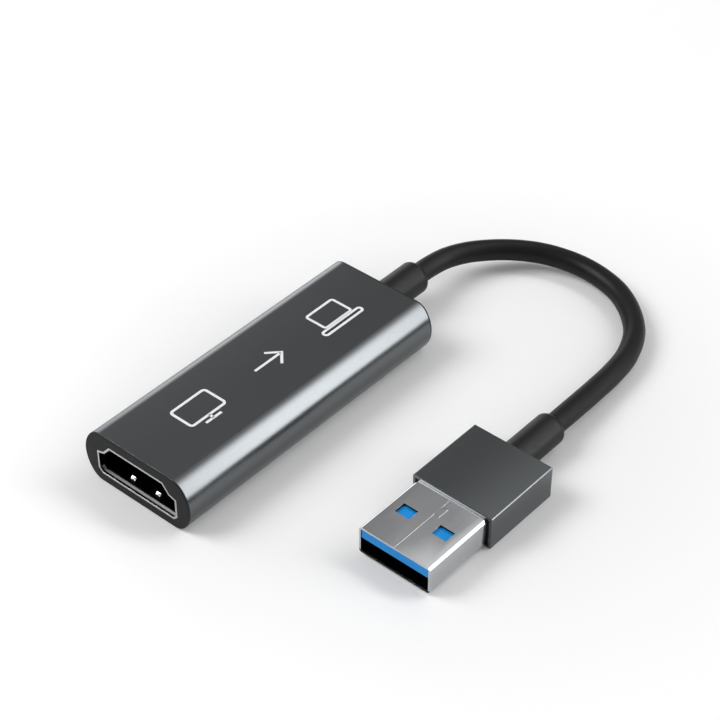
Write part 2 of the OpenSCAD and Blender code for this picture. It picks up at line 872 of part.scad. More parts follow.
// A cheek on each side of the shell, and a wire chamber behind it
module plug_core() {
    width = housing_width - 2 * housing_wall - 2 * fit_gap;
    floor_level = housing_wall + fit_gap;
    roof_level = housing_height - housing_wall - fit_gap;
    slot = shell_width + 2 * fit_gap;
    chamber = width - 2 * core_wall;
    color("#1b1c1c")
        at_plug()
            difference() {
                translate([-width / 2, shell_exposed, floor_level])
                    cube([width, plug_cores_start - shell_exposed, roof_level - floor_level]);
                translate([-slot / 2, shell_exposed - cut, 0])
                    cube([slot, shell_buried + fit_gap + cut, housing_height]);
                translate([-chamber / 2, shell_end, floor_level + core_floor])
                    cube([chamber, plug_cores_start - shell_end + cut, housing_height]);
            }
}

// The line along which the shell's two edges meet, with its dovetail
module seam() {
    half = dovetail_neck / 2;
    far_half = half + dovetail_spread / 2;
    line = [[0, -cut], [0, dovetail_setback - half], [dovetail_reach, dovetail_setback - far_half],
            [dovetail_reach, dovetail_setback + far_half], [0, dovetail_setback + half],
            [0, shell_end + cut]];
    for (i = [0:len(line) - 2]) {
        run = line[i + 1] - line[i];
        translate(line[i])
            rotate(atan2(run[1], run[0]))
                translate([-seam_width / 2, -seam_width / 2])
                    square([norm(run) + seam_width, seam_width]);
    }
}

module plug_shell() {
    color("#b9bbbd")
        at_plug()
            difference() {
                along_y(0, shell_end)
                    translate([0, plug_mid])
                        rounded_square(shell_width, shell_height, shell_corner + shell_sheet);
                along_y(-cut, shell_end + 2 * cut)
                    translate([0, plug_mid])
                        rounded_square(shell_width - 2 * shell_sheet, shell_height - 2 * shell_sheet,
                                       shell_corner);
                for (side = [-1, 1])
                    translate([side * window_pitch / 2 - window_width / 2, window_setback, -cut])
                        cube([window_width, window_length, housing_height + 2 * cut]);
                translate([0, 0, plug_mid + shell_height / 2 - seam_depth])
                    linear_extrude(seam_depth + cut)
                        seam();
            }
}

module front_contact_set() {
    turn = front_contact_end - plug_contact_thickness;
    for (place = front_contact_places)
        translate([place, 0, contact_level])
            across_x(front_contact_width)
                polygon([[front_contact_setback, 0], [front_contact_end, 0],
                         [front_contact_end, front_contact_rise], [tail_end, front_contact_rise],
                         [tail_end, front_contact_rise + plug_contact_thickness],
                         [turn, front_contact_rise + plug_contact_thickness],
                         [turn, plug_contact_thickness], [front_contact_setback, plug_contact_thickness]]);
}

module rear_contact_set() {
    bow_top = rear_contact_start + bow_length / 2;
    bow_end = rear_contact_start + bow_length;
    for (place = rear_contact_places)
        translate([place, 0, contact_level])
            across_x(rear_contact_width)
                polygon([[rear_contact_start, 0], [bow_top, -bow_lift], [bow_end, 0], [tail_end, 0],
                         [tail_end, plug_contact_thickness], [bow_end, plug_contact_thickness],
                         [bow_top, plug_contact_thickness - bow_lift],
                         [rear_contact_start, plug_contact_thickness]]);
}

module plug_insulator() {
    width = shell_width - 2 * shell_sheet - 2 * fit_gap;
    height = shell_height - 2 * shell_sheet - 2 * fit_gap;
    color("#1f86cf")
        at_plug()
            difference() {
                intersection() {
                    along_y(0, insulator_end)
                        translate([0, plug_mid])
                            rounded_square(width, height, shell_corner);
                    union() {
                        translate([-shell_width / 2, plug_tongue_setback, tongue_bottom])
                            cube([shell_width, insulator_end, shell_height]);
                        translate([-shell_width / 2, cavity_depth, 0])
                            cube([shell_width, insulator_end, housing_height]);
                    }
                }
                front_contact_set();
                rear_contact_set();
            }
}

module plug_front_contacts() {
    color("#c9a45a")
        at_plug()
            front_contact_set();
}

module plug_rear_contacts() {
    color("#c9a45a")
        at_plug()
            rear_contact_set();
}

// One core from the plug's strain relief to the tail of a contact
module plug_core_wire(place, i, below = false) {
    side = below ? -1 : 1;
    level = below ? contact_level - core_diameter / 2
                  : front_tail_level + plug_contact_thickness + core_diameter / 2;
    turn = side * core_angles[i];
    out = [core_ring * cos(turn), plug_cores_start, plug_mid + core_ring * sin(turn)];
    at_plug()
        tube([out, out - [0, core_lead, 0], [place, tail_end + core_diameter / 2, level],
              [place, insulator_end + core_lead, level]], core_diameter, core_sides);
}

module plug_power_wires() {
    color("#b5342c")
        for (i = [0, 3])
            plug_core_wire(front_contact_places[3 - i], i);
}

module plug_data_wires() {
    color("#d8d8d2")
        for (i = [1, 2])
            plug_core_wire(front_contact_places[3 - i], i);
}

module plug_fast_wires() {
    // The middle contact has no core
    outer = [4, 3, 1, 0];
    color("#3b6ea8")
        for (i = [0:3])
            plug_core_wire(rear_contact_places[outer[i]], i, below = true);
}

body_sleeve();
front_cap();
rear_cap();
socket_shell();
socket_insulator();
socket_upper_contacts();
socket_lower_contacts();
main_board();
capture_chip();
memory_chip();
clock_crystal();
voltage_regulator();
power_inductor();
bulk_capacitor();
surge_arrays();
ceramic_capacitors();
chip_resistors();
board_power_wires();
board_data_wires();
board_fast_wires();
body_strain_relief();
cable();
plug_strain_relief();
plug_housing();
plug_core();
plug_shell();
plug_insulator();
plug_front_contacts();
plug_rear_contacts();
plug_power_wires();
plug_data_wires();
plug_fast_wires();
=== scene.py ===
import math

import bmesh
import bpy
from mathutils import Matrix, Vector


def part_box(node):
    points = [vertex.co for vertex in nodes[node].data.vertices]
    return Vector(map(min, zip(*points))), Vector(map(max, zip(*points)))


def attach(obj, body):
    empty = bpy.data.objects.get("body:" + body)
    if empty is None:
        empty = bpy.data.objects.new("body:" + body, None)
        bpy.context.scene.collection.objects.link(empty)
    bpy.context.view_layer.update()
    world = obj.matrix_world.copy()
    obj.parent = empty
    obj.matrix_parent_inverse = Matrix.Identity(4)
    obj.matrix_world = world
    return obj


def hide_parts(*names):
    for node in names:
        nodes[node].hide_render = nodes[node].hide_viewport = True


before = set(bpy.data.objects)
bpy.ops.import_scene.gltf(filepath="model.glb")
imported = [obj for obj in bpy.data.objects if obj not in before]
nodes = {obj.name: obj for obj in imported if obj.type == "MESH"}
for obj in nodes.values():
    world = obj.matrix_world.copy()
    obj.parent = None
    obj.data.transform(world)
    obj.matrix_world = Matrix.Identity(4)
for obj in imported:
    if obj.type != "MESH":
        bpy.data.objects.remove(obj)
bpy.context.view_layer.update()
scene = bpy.context.scene
scene.view_settings.view_transform = "Standard"
mm = 0.001  # sizes below are in millimetres, the frame is in metres
print("frame:", len(nodes), "nodes")


# Camera, at the photograph's angle

photoView = {
    "azimuth": 40.86,  # degrees round from straight in front of the socket
    "elevation": 40.14,
    "target": (2.99, 17.13, 0),
    "distance": 294.5,
    "lens": 100.3,  # on a 36 mm sensor
}


def makeCamera(view):
    turn, tilt = math.radians(view["azimuth"]), math.radians(view["elevation"])
    back = Vector((math.sin(turn) * math.cos(tilt), -math.cos(turn) * math.cos(tilt), math.sin(tilt)))
    data = bpy.data.cameras.new("photoCamera")
    data.sensor_width = 36
    data.lens = view["lens"]
    data.clip_start = 0.01
    camera = bpy.data.objects.new("photoCamera", data)
    camera.location = (Vector(view["target"]) + back * view["distance"]) * mm
    camera.rotation_euler = back.to_track_quat("Z", "Y").to_euler()
    scene.collection.objects.link(camera)
    scene.camera = camera


makeCamera(photoView)
print("camera set")


# Small helpers for node trees and materials

def linear(hexColour):
    parts = [int(hexColour[i:i + 2], 16) / 255 for i in (1, 3, 5)]
    return [c / 12.92 if c <= 0.04045 else ((c + 0.055) / 1.055) ** 2.4 for c in parts] + [1]


def addNode(tree, kind, links=None, **settings):
    node = tree.nodes.new(kind)
    for name, value in settings.items():
        setattr(node, name, value)
    for name, value in (links or {}).items():
        if isinstance(value, bpy.types.NodeSocket):
            tree.links.new(value, node.inputs[name])
        else:
            node.inputs[name].default_value = value
    return node


def startMaterial(name, sockets):
    material = bpy.data.materials.new(name)
    material.use_nodes = True
    tree = material.node_tree
    tree.nodes.clear()
    shader = addNode(tree, "ShaderNodeBsdfPrincipled", sockets)
    addNode(tree, "ShaderNodeOutputMaterial", {"Surface": shader.outputs["BSDF"]})
    where = addNode(tree, "ShaderNodeTexCoord").outputs["Object"]
    return material, tree, shader, where


# A noise whose spots are size millimetres across, drawn out along an axis by stretch
def grain(tree, where, size, stretch=(1, 1, 1), detail=2.0):
    scale = [1 / (size * mm * times) for times in stretch]
    placed = addNode(tree, "ShaderNodeMapping", {"Vector": where, "Scale": scale})
    noise = addNode(tree, "ShaderNodeTexNoise", {"Vector": placed.outputs[0], "Scale": 1.0, "Detail": detail})
    return noise.outputs["Fac"]


# Most of a noise's values lie between these
noiseRange = (0.3, 0.7)


# Links a pattern to a shader: colour between two hex values, a range of roughness, a bump in millimetres
def dress(tree, shader, colour=None, roughness=None, bump=None):
    if colour:
        pattern, dark, light = colour
        mixed = addNode(tree, "ShaderNodeMix", {0: pattern, 6: linear(dark), 7: linear(light)},
                        data_type="RGBA")
        tree.links.new(mixed.outputs[2], shader.inputs["Base Color"])
    if roughness:
        pattern, low, high = roughness
        ranged = addNode(tree, "ShaderNodeMapRange", {
            "Value": pattern, "From Min": noiseRange[0], "From Max": noiseRange[1],
            "To Min": low, "To Max": high})
        tree.links.new(ranged.outputs["Result"], shader.inputs["Roughness"])
    if bump:
        pattern, height, strength = bump
        raised = addNode(tree, "ShaderNodeBump", {"Height": pattern, "Distance": height * mm,
                                                  "Strength": strength})
        tree.links.new(raised.outputs["Normal"], shader.inputs["Normal"])


# Materials

# Extruded aluminium, bead blasted and grey anodised: dark satin metal with soft-edged highlights
def makeAnodisedAluminium():
    material, tree, shader, where = startMaterial("blastedAnodisedAluminium", {"Metallic": 1.0})
    # Real blasting pits are about 0.05 mm across, too fine to show, so these are larger
    pits = grain(tree, where, 0.2, detail=3)
    clouds = grain(tree, where, 6)
    dress(tree, shader, colour=(clouds, "#696c6e", "#6c6f71"), roughness=(pits, 0.2, 0.24),
          bump=(pits, 0.002, 0.2))
    return material


# Rolled steel sheet, nickel plated: even grey sheen that clouds a little
def makeNickelPlatedSteel():
    material, tree, shader, where = startMaterial("nickelPlatedSteel", {"Metallic": 1.0})
    clouds = grain(tree, where, 2.5)
    rollLines = grain(tree, where, 0.2, stretch=(1, 40, 1))
    dress(tree, shader, colour=(clouds, "#cccdcf", "#d3d4d6"), roughness=(rollLines, 0.1, 0.13))
    return material


# The inner faces of the folded shells get painted shade: nickel so dark that an opening reads as black
def makePaintedShadeNickel():
    material, tree, shader, where = startMaterial("nickelPaintedShadeInside", {"Metallic": 1.0})
    smears = grain(tree, where, 0.6, stretch=(1, 3, 1))
    dress(tree, shader, colour=(smears, "#0d0d0d", "#161616"), roughness=(smears, 0.4, 0.5))
    return material


# The lip's floor inside the socket's mouth gets painted light: a lighter copy of the nickel, for a dim grey
# strip in the dark opening
def makePaintedLightLipNickel():
    material, tree, shader, where = startMaterial("paintedLightLipNickel", {"Metallic": 0.6})
    lipStreaks = grain(tree, where, 0.15, stretch=(1, 12, 1))
    dress(tree, shader, colour=(lipStreaks, "#c0c0c0", "#d2d2d2"), roughness=(lipStreaks, 0.5, 0.6))
    return material


# Moulded black plastic, spark-eroded tool: dull, with a fine even grain
def makeBlackPlastic():
    material, tree, shader, where = startMaterial("mouldedBlackPlastic", {"Specular IOR Level": 0.35})
    grit = grain(tree, where, 0.15)
    dress(tree, shader, colour=(grit, "#151617", "#1b1c1d"), roughness=(grit, 0.6, 0.72),
          bump=(grit, 0.005, 0.3))
    return material


# Moulded polyester, blue: bright even colour with a half-gloss skin
def makeBluePlastic():
    material, tree, shader, where = startMaterial("mouldedBluePolyester", {"Specular IOR Level": 0.3})
    flow = grain(tree, where, 1.2, stretch=(1, 4, 1))
    dress(tree, shader, colour=(flow, "#0a88d8", "#1090e0"), roughness=(flow, 0.4, 0.5))
    return material


# Soft moulded thermoplastic elastomer: near black, satin, with a faint moulded mottle
def makeReliefElastomer():
    material, tree, shader, where = startMaterial("mouldedElastomer", {"Specular IOR Level": 0.3})
    mottle = grain(tree, where, 0.5, detail=3)
    skin = grain(tree, where, 0.14)
    dress(tree, shader, colour=(mottle, "#101111", "#141515"), roughness=(mottle, 0.36, 0.46),
          bump=(skin, 0.005, 0.3))
    return material


# Extruded elastomer jacket: near black, satin, with a fine skin
def makeCableJacket():
    material, tree, shader, where = startMaterial("extrudedCableJacket", {"Specular IOR Level": 0.26})
    skin = grain(tree, where, 0.18, detail=3)
    clouds = grain(tree, where, 3)
    dress(tree, shader, colour=(clouds, "#0d0d0d", "#111212"), roughness=(skin, 0.4, 0.5),
          bump=(skin, 0.006, 0.3))
    return material


# Gold flash over nickel on stamped bronze: warm bright metal with light wiping marks
def makeGoldContact():
    material, tree, shader, where = startMaterial("goldPlatedBronze", {"Metallic": 1.0})
    wiped = grain(tree, where, 0.08, stretch=(1, 20, 1))
    dress(tree, shader, colour=(wiped, "#c79a4b", "#dcb468"), roughness=(wiped, 0.2, 0.34))
    return material


# White screen-printing ink: flat, a little uneven in cover
def makePrintInk():
    material, tree, shader, where = startMaterial("whitePrintInk", {"Specular IOR Level": 0.3})
    cover = grain(tree, where, 0.2)
    dress(tree, shader, colour=(cover, "#e4e6e8", "#f0f2f3"), roughness=(cover, 0.55, 0.7))
    return material


# Glass-fibre board under green solder mask: glossy lacquer over a faint weave
def makeSolderMask():
    material, tree, shader, where = startMaterial("solderMaskBoard", {"Coat Weight": 0.4})
    scale = [1 / (0.5 * mm)] * 3  # glass weave of about 0.5 mm
    placed = addNode(tree, "ShaderNodeMapping", {"Vector": where, "Scale": scale})
    weave = addNode(tree, "ShaderNodeTexChecker", {"Vector": placed.outputs[0], "Scale": 1.0}).outputs["Fac"]
    dress(tree, shader, colour=(weave, "#17492f", "#1c5437"), roughness=(weave, 0.3, 0.4))
    return material


# Small solid finishes inside the body: name, dark and light colour, grain in mm, roughness range, metallic
innerFinishes = {
    "chipResin": ("#232325", "#2c2c2e", 0.12, (0.55, 0.7), 0.0),
    "crystalCan": ("#b2b2ad", "#c2c2bd", 0.3, (0.22, 0.32), 1.0),
    "pressedFerrite": ("#4e4e51", "#606063", 0.15, (0.6, 0.75), 0.0),
    "firedCeramic": ("#8d6e50", "#a5835f", 0.1, (0.4, 0.5), 0.0),
    "resistorFilm": ("#18181a", "#222224", 0.1, (0.3, 0.42), 0.0),
    "redCoreInsulation": ("#a52d26", "#b93a31", 0.3, (0.35, 0.45), 0.0),
    "whiteCoreInsulation": ("#cfcfc9", "#dadad4", 0.3, (0.35, 0.45), 0.0),
    "blueCoreInsulation": ("#33659c", "#3d72ac", 0.3, (0.35, 0.45), 0.0),
}


def makeInnerFinish(name):
    dark, light, size, roughness, metallic = innerFinishes[name]
    material, tree, shader, where = startMaterial(name, {"Metallic": metallic})
    spots = grain(tree, where, size)
    dress(tree, shader, colour=(spots, dark, light), roughness=(spots, *roughness))
    return material


anodisedAluminium = makeAnodisedAluminium()
nickelPlatedSteel = makeNickelPlatedSteel()
paintedShadeNickel = makePaintedShadeNickel()
paintedLightLipNickel = makePaintedLightLipNickel()
blackPlastic = makeBlackPlastic()
bluePlastic = makeBluePlastic()
reliefElastomer = makeReliefElastomer()
cableJacket = makeCableJacket()
goldContact = makeGoldContact()
printInk = makePrintInk()
solderMask = makeSolderMask()
print("materials made")


# Helpers for meshes

meshSpec = {
    "flat": 0.9995,  # a normal's share along an axis, above which a boxy piece's face is flat
    "boxySharp": 20,  # degrees between two faces, above which their edge is sharp
    "roundSharp": 40,
    "fold": 35,  # degrees between two faces, above which their edge is a fold
    "merge": 0.0005,  # points nearer than this are one
    "level": 0.5,  # degrees between two faces, below which they are one
}


# A boxy piece keeps the faces that lie square to an axis flat, and is smooth only where it is rounded
def meshFrom(name, shape, materials, boxy=False):
    bmesh.ops.recalc_face_normals(shape, faces=shape.faces)
    shape.normal_update()
    for face in shape.faces:
        face.smooth = not boxy or max(abs(part) for part in face.normal) < meshSpec["flat"]
    mesh = bpy.data.meshes.new(name)
    shape.to_mesh(mesh)
    shape.free()
    # Normals that came with a node's own mesh no longer fit
    if "custom_normal" in mesh.attributes:
        mesh.attributes.remove(mesh.attributes["custom_normal"])
    mesh.set_sharp_from_angle(angle=math.radians(meshSpec["boxySharp" if boxy else "roundSharp"]))
    for material in materials:
        mesh.materials.append(material)
    return mesh


def addObject(name, mesh):
    made = bpy.data.objects.new(name, mesh)
    scene.collection.objects.link(made)
    return made


def addPiece(name, mesh, slot=None, replaced=()):
    piece = addObject(name, mesh)
    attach(piece, "root")
    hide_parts(*replaced)
    return piece


# A node's box in mm
def boxOf(node):
    return [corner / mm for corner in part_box(node)]


# Skin over rings of points in mm, all with as many points; the last joins the first, or both ends are closed
def loft(rings, joined=False, shape=None):
    shape = shape or bmesh.new()
    rows = [[shape.verts.new(Vector(point) * mm) for point in ring] for ring in rings]
    pairs = list(zip(rows, rows[1:]))
    if joined:
        pairs.append((rows[-1], rows[0]))
    else:
        shape.faces.new(rows[0])
        shape.faces.new(rows[-1])
    count = len(rings[0])
    for low, high in pairs:
        for i in range(count):
            j = (i + 1) % count
            shape.faces.new((low[i], low[j], high[j], high[i]))
    return shape


# Rounds over the folds of a shape, or those that are chosen by their middle in mm
def roundFolds(shape, width, segments=2, choose=None):
    shape.normal_update()
    folds = [edge for edge in shape.edges
             if edge.is_manifold and edge.calc_face_angle() > math.radians(meshSpec["fold"])
             and (choose is None or choose((edge.verts[0].co + edge.verts[1].co) / 2 / mm))]
    bmesh.ops.bevel(shape, geom=folds, offset=width * mm, offset_type="OFFSET", segments=segments,
                    profile=0.5, affect="EDGES", clamp_overlap=True)


# A node's own shape with its triangles merged into whole faces
def copyNode(node):
    shape = bmesh.new()
    shape.from_mesh(nodes[node].data)
    bmesh.ops.remove_doubles(shape, verts=shape.verts, dist=meshSpec["merge"] * mm)
    bmesh.ops.dissolve_limit(shape, angle_limit=math.radians(meshSpec["level"]), verts=shape.verts,
                             edges=shape.edges)
    return shape


# Steps of a quarter round: how far in from the side and in from the end each ring lies
def quarterRound(radius, steps):
    turns = [math.radians(90 * i / steps) for i in range(steps + 1)]
    return [(radius * (1 - math.sin(turn)), radius * (1 - math.cos(turn))) for turn in turns]


# Cable

cableSpec = {
    "diameter": 3.3,
    "length": 72.6,
    "sides": 40,
    "ringsPerStep": 8,
    "route": [
        (0, 33.75, 4.5), (0, 36.7, 4.4), (0.4, 40.2, 4.2), (1.6, 43.6, 3.9), (3.4, 46.7, 3.5),
        (5.8, 49.6, 3.1), (8.7, 52, 2.7), (11.8, 53.5, 2.4), (15.5, 54.4, 2.1), (19.4, 54.3, 1.9),
        (23.6, 53.1, 1.8), (27.6, 50.5, 1.7), (31, 46.7, 1.7), (33.1, 41.8, 1.7), (33.9, 36.9, 1.8),
        (34.2, 32, 2), (34.5, 26.7, 2.4), (34.7, 21.5, 2.7),
    ],
}


# A smooth line through the route's points
def smoothLine(route, ringsPerStep):
    points = [Vector(point) for point in route]
    points = [points[0] * 2 - points[1], *points, points[-1] * 2 - points[-2]]
    line = []
    for a, b, c, d in zip(points, points[1:], points[2:], points[3:]):
        for i in range(ringsPerStep):
            t = i / ringsPerStep
            line.append((b * 2 + (c - a) * t + (a * 2 - b * 5 + c * 4 - d) * t ** 2
                         + (b * 3 - a - c * 3 + d) * t ** 3) / 2)
    return line + [points[-2]]


def makeCable(spec):
    line = smoothLine(spec["route"], spec["ringsPerStep"])
    turns = [2 * math.pi * j / spec["sides"] for j in range(spec["sides"])]
    radius = spec["diameter"] / 2
    rings = []
    for i, point in enumerate(line):
        ahead = line[min(i + 1, len(line) - 1)] - line[max(i - 1, 0)]
        # Both ends are cut square to the strain reliefs
        if i in (0, len(line) - 1):
            ahead = Vector((0, ahead.y, 0))
        side = ahead.cross(Vector((0, 0, 1))).normalized()
        up = side.cross(ahead).normalized()
        rings.append([point + (side * math.cos(turn) + up * math.sin(turn)) * radius for turn in turns])
    mesh = meshFrom("cableJacket", loft(rings), [cableJacket])
    return addPiece("cableJacket", mesh, "cable_jacket", ["cable"]), line


cable, cableLine = makeCable(cableSpec)
print("cable laid:", len(cableLine), "rings")


# Strain reliefs, turned round the cable's axis where it leaves a wall

reliefSpecs = {
    "bodyRelief": {
        "node": "body_strain_relief", "axis": (0, 4.5), "flange": 5.9, "flangeThickness": 1.2, "neck": 4.3,
        "neckLength": 2.5, "barrel": 5.2, "rounding": 0.9, "rootFillet": 0.12, "sides": 64,
    },
    "plugRelief": {
        "node": "plug_strain_relief", "axis": (34.7, 2.7), "flange": 4.4, "flangeThickness": 0.8, "neck": 3.9,
        "neckLength": 0.9, "barrel": 4.9, "rounding": 0.9, "rootFillet": 0.12, "sides": 64,
    },
}


def makeRelief(name, spec):
    start, end = (corner.y for corner in boxOf(spec["node"]))
    flangeEnd = start + spec["flangeThickness"]
    wall = flangeEnd + spec["neckLength"]
    flange, neck, barrel = spec["flange"] / 2, spec["neck"] / 2, spec["barrel"] / 2
    profile = [(flange, start), (flange, flangeEnd), (neck, flangeEnd), (neck, wall),
               (barrel - spec["rootFillet"], wall), (barrel, wall + spec["rootFillet"]),
               (barrel, end - 1.1 * spec["rounding"])]
    profile += [(barrel - inset, end - back) for inset, back in reversed(quarterRound(spec["rounding"], 8))]
    turns = [2 * math.pi * j / spec["sides"] for j in range(spec["sides"])]
    x, z = spec["axis"]
    rings = [[(x + r * math.cos(turn), y, z + r * math.sin(turn)) for turn in turns] for r, y in profile]
    return addPiece(name, meshFrom(name, loft(rings), [reliefElastomer]), "relief_rubber", [spec["node"]])


reliefs = {name: makeRelief(name, spec) for name, spec in reliefSpecs.items()}
print("strain reliefs turned")


# Body sleeve with its board rails

sleeveSpec = {
    "wall": 0.85,
    "sideBulge": 3,  # how far in from each side the flat faces end
    "sideEase": 0.6,  # how much the side's large arc outgrows the corner arcs
    "endRounding": 0.015,
    "arcSteps": 14,
    "railThickness": 0.6,
    "railGrip": 0.8,  # reach over the board's edge
    "railGap": 0.05,
    "railRounding": 0.15,
    "railRoot": 0.3,  # depth in the sleeve's wall
}


# Outline of the sleeve's outside with the direction outwards at each point
def sleeveOutline(width, height, spec):
    half = height / 2
    corner = spec["sideBulge"] - spec["sideEase"]
    large = (half - spec["sideBulge"]) ** 2 / (2 * spec["sideEase"]) + half
    turn = math.degrees(math.atan2(half - corner, large - spec["sideBulge"]))
    arcs = [(width / 2 - spec["sideBulge"], corner - half, corner, -90, -turn),
            (width / 2 - large, 0, large, -turn, turn),
            (width / 2 - spec["sideBulge"], half - corner, corner, turn, 90)]
    right = []
    for x, z, radius, low, high in arcs:
        for i in range(spec["arcSteps"] + 1):
            angle = math.radians(low + (high - low) * i / spec["arcSteps"])
            out = (math.cos(angle), math.sin(angle))
            point = (x + radius * out[0], z + radius * out[1], *out)
            if not right or math.dist(point[:2], right[-1][:2]) > 0.001:
                right.append(point)
    left = [(-x, z, -outX, outZ) for x, z, outX, outZ in reversed(right)]
    return right + left


def makeSleeve(spec):
    low, high = boxOf("body_sleeve")
    middle = (low.z + high.z) / 2
    outline = sleeveOutline(high.x - low.x, high.z - low.z, spec)

    def ring(inset, y):
        return [(x - inset * outX, y, middle + z - inset * outZ) for x, z, outX, outZ in outline]

    end = [(spec["wall"], 0), *quarterRound(spec["endRounding"], 2)]
    rings = [ring(inset, low.y + back) for inset, back in end]
    rings += [ring(inset, high.y - back) for inset, back in reversed(end)]
    shape = loft(rings, joined=True)

    boardLow, boardHigh = boxOf("main_board")
    start, stop = boxOf("socket_shell")[1].y, boxOf("rear_cap")[0].y - spec["railGap"]
    inner, outer = boardHigh.x - spec["railGrip"], high.x - spec["wall"] + spec["railRoot"]
    near = (boardHigh.z - boardLow.z) / 2 + spec["railGap"]
    far, soft = near + spec["railThickness"], spec["railRounding"]
    profile = [(outer, near), (inner + soft, near), (inner, near + soft), (inner, far - soft),
               (inner + soft, far), (outer, far)]
    for side in (-1, 1):
        for up in (-1, 1):
            loft([[(side * x, y, middle + up * z) for x, z in profile] for y in (start, stop)], shape=shape)
    mesh = meshFrom("bodySleeve", shape, [anodisedAluminium], boxy=True)
    return addPiece("bodySleeve", mesh, "grey_aluminium", ["body_sleeve"])


makeSleeve(sleeveSpec)
print("sleeve drawn")


# Printed pictograms on the body: what comes in, and what it goes to

printSpec = {
    "line": 0.42,
    "proud": 0.01,
    "sunk": 0.02,
    "spacing": 13.5,
    "middle": 1,  # how far towards the cable the middle pictogram stands
    "cornerSteps": 5,
}


# A closed outline of a rounded rectangle about a point
def roundedBox(across, up, width, height, radius):
    steps = printSpec["cornerSteps"]
    points = []
    for quarter, (signX, signY) in enumerate(((1, 1), (-1, 1), (-1, -1), (1, -1))):
        for i in range(steps + 1):
            angle = math.radians(90 * (quarter + i / steps))
            points.append((across + signX * (width / 2 - radius) + radius * math.cos(angle),
                           up + signY * (height / 2 - radius) + radius * math.sin(angle)))
    return points


# Each pictogram: lines of points read along the body, and whether a line is closed
pictograms = [
    [(roundedBox(0, 0.6, 6.6, 4.2, 0.5), True), ([(0, -1.5), (0, -2.4)], False),
     ([(-1.5, -2.4), (1.5, -2.4)], False)],
    [([(-2.8, 0), (2.5, 0)], False), ([(0.9, 1.7), (2.7, 0), (0.9, -1.7)], False)],
    [(roundedBox(0, 0.7, 5.6, 3.8, 0.4), True), (roundedBox(0, -2, 8, 0.9, 0.4), True)],
]


# Both sides of a drawn line, mitred at its corners
def lineSides(points, closed, width):
    places = [Vector(point) for point in points]
    last = len(places) - 1
    sides = []
    for i, place in enumerate(places):
        before = place - places[i - 1] if closed or i > 0 else places[1] - place
        after = places[(i + 1) % len(places)] - place if closed or i < last else before
        acrossBefore = Vector((-before.y, before.x)).normalized()
        acrossAfter = Vector((-after.y, after.x)).normalized()
        mitre = (acrossBefore + acrossAfter) / (1 + acrossBefore.dot(acrossAfter)) * width / 2
        sides.append((place + mitre, place - mitre))
    return sides


def makePrint(spec):
    top = boxOf("body_sleeve")[1].z
    shape = bmesh.new()
    for i, lines in enumerate(pictograms):
        along = spec["middle"] + (i - (len(pictograms) - 1) / 2) * spec["spacing"]
        for points, closed in lines:
            rings = []
            for one, other in lineSides(points, closed, spec["line"]):
                rings.append([(-point.y, along + point.x, top + z)
                              for point, z in ((one, spec["proud"]), (other, spec["proud"]),
                                               (other, -spec["sunk"]), (one, -spec["sunk"]))])
            loft(rings, joined=closed, shape=shape)
    return addPiece("bodyPrint", meshFrom("bodyPrint", shape, [printInk]))


makePrint(printSpec)
print("pictograms printed:", len(pictograms))


# Plug housing

housingSpec = {
    "wall": 0.4,
    "rearWall": 0.9,
    "hole": 4,
    "edge": 0.2,  # rounding of the four long edges
    "endRounding": 0.1,
    "edgeSteps": 6,
}


def makeHousing(spec):
    low, high = boxOf("plug_housing")
    centre = (low + high) / 2
    width, height = high.x - low.x, high.z - low.z

    def box(inset, y):
        radius = max(spec["edge"] - inset, 0.02)
        across, up = width / 2 - inset - radius, height / 2 - inset - radius
        points = []
        for quarter, (x, z) in enumerate(((across, up), (-across, up), (-across, -up), (across, -up))):
            for i in range(spec["edgeSteps"] + 1):
                angle = math.radians(90 * (quarter + i / spec["edgeSteps"]))
                points.append((centre.x + x + radius * math.cos(angle), y,
                               centre.z + z + radius * math.sin(angle)))
        return points

    def bore(y):
        radius = spec["hole"] / 2
        bearings = [math.atan2(z - centre.z, x - centre.x) for x, y0, z in box(0, y)]
        return [(centre.x + radius * math.cos(turn), y, centre.z + radius * math.sin(turn))
                for turn in bearings]

    edge = quarterRound(spec["endRounding"], 2)
    innerEnd = high.y - spec["rearWall"]
    rings = [box(spec["wall"], low.y)]
    rings += [box(inset, low.y + back) for inset, back in edge]
    rings += [box(inset, high.y - back) for inset, back in reversed(edge)]
    rings += [bore(high.y), bore(innerEnd), box(spec["wall"], innerEnd)]
    mesh = meshFrom("plugHousing", loft(rings, joined=True), [anodisedAluminium], boxy=True)
    return addPiece("plugHousing", mesh, "grey_aluminium", ["plug_housing"])


housing = makeHousing(housingSpec)
print("plug housing made")


# End caps, whose flanges are rounded at the body's ends

capSpecs = {
    "frontCap": {"node": "front_cap", "outwards": -1},
    "rearCap": {"node": "rear_cap", "outwards": 1},
}
onFace = 0.01  # a point nearer to a face than this lies on it
capRim = {"rounding": 0.18, "segments": 6, "depth": 0.9, "edge": 0.05}


def makeCap(name, spec):
    low, high = boxOf(spec["node"])
    centre, half = (low + high) / 2, (high - low) / 2
    face = high.y if spec["outwards"] > 0 else low.y

    # On the outer face, and nearer to the body's outline than to the opening
    def onRim(place):
        beside, above = abs(place.x - centre.x), abs(place.z - centre.z)
        atRim = above > half.z - capRim["depth"] or beside > half.x - 2 * capRim["depth"]
        return abs(place.y - face) < onFace and atRim

    shape = copyNode(spec["node"])
    roundFolds(shape, capRim["rounding"], capRim["segments"], onRim)
    roundFolds(shape, capRim["edge"])
    return addPiece(name, meshFrom(name, shape, [blackPlastic], boxy=True), "black_plastic", [spec["node"]])


for name, spec in capSpecs.items():
    makeCap(name, spec)
print("end caps made")
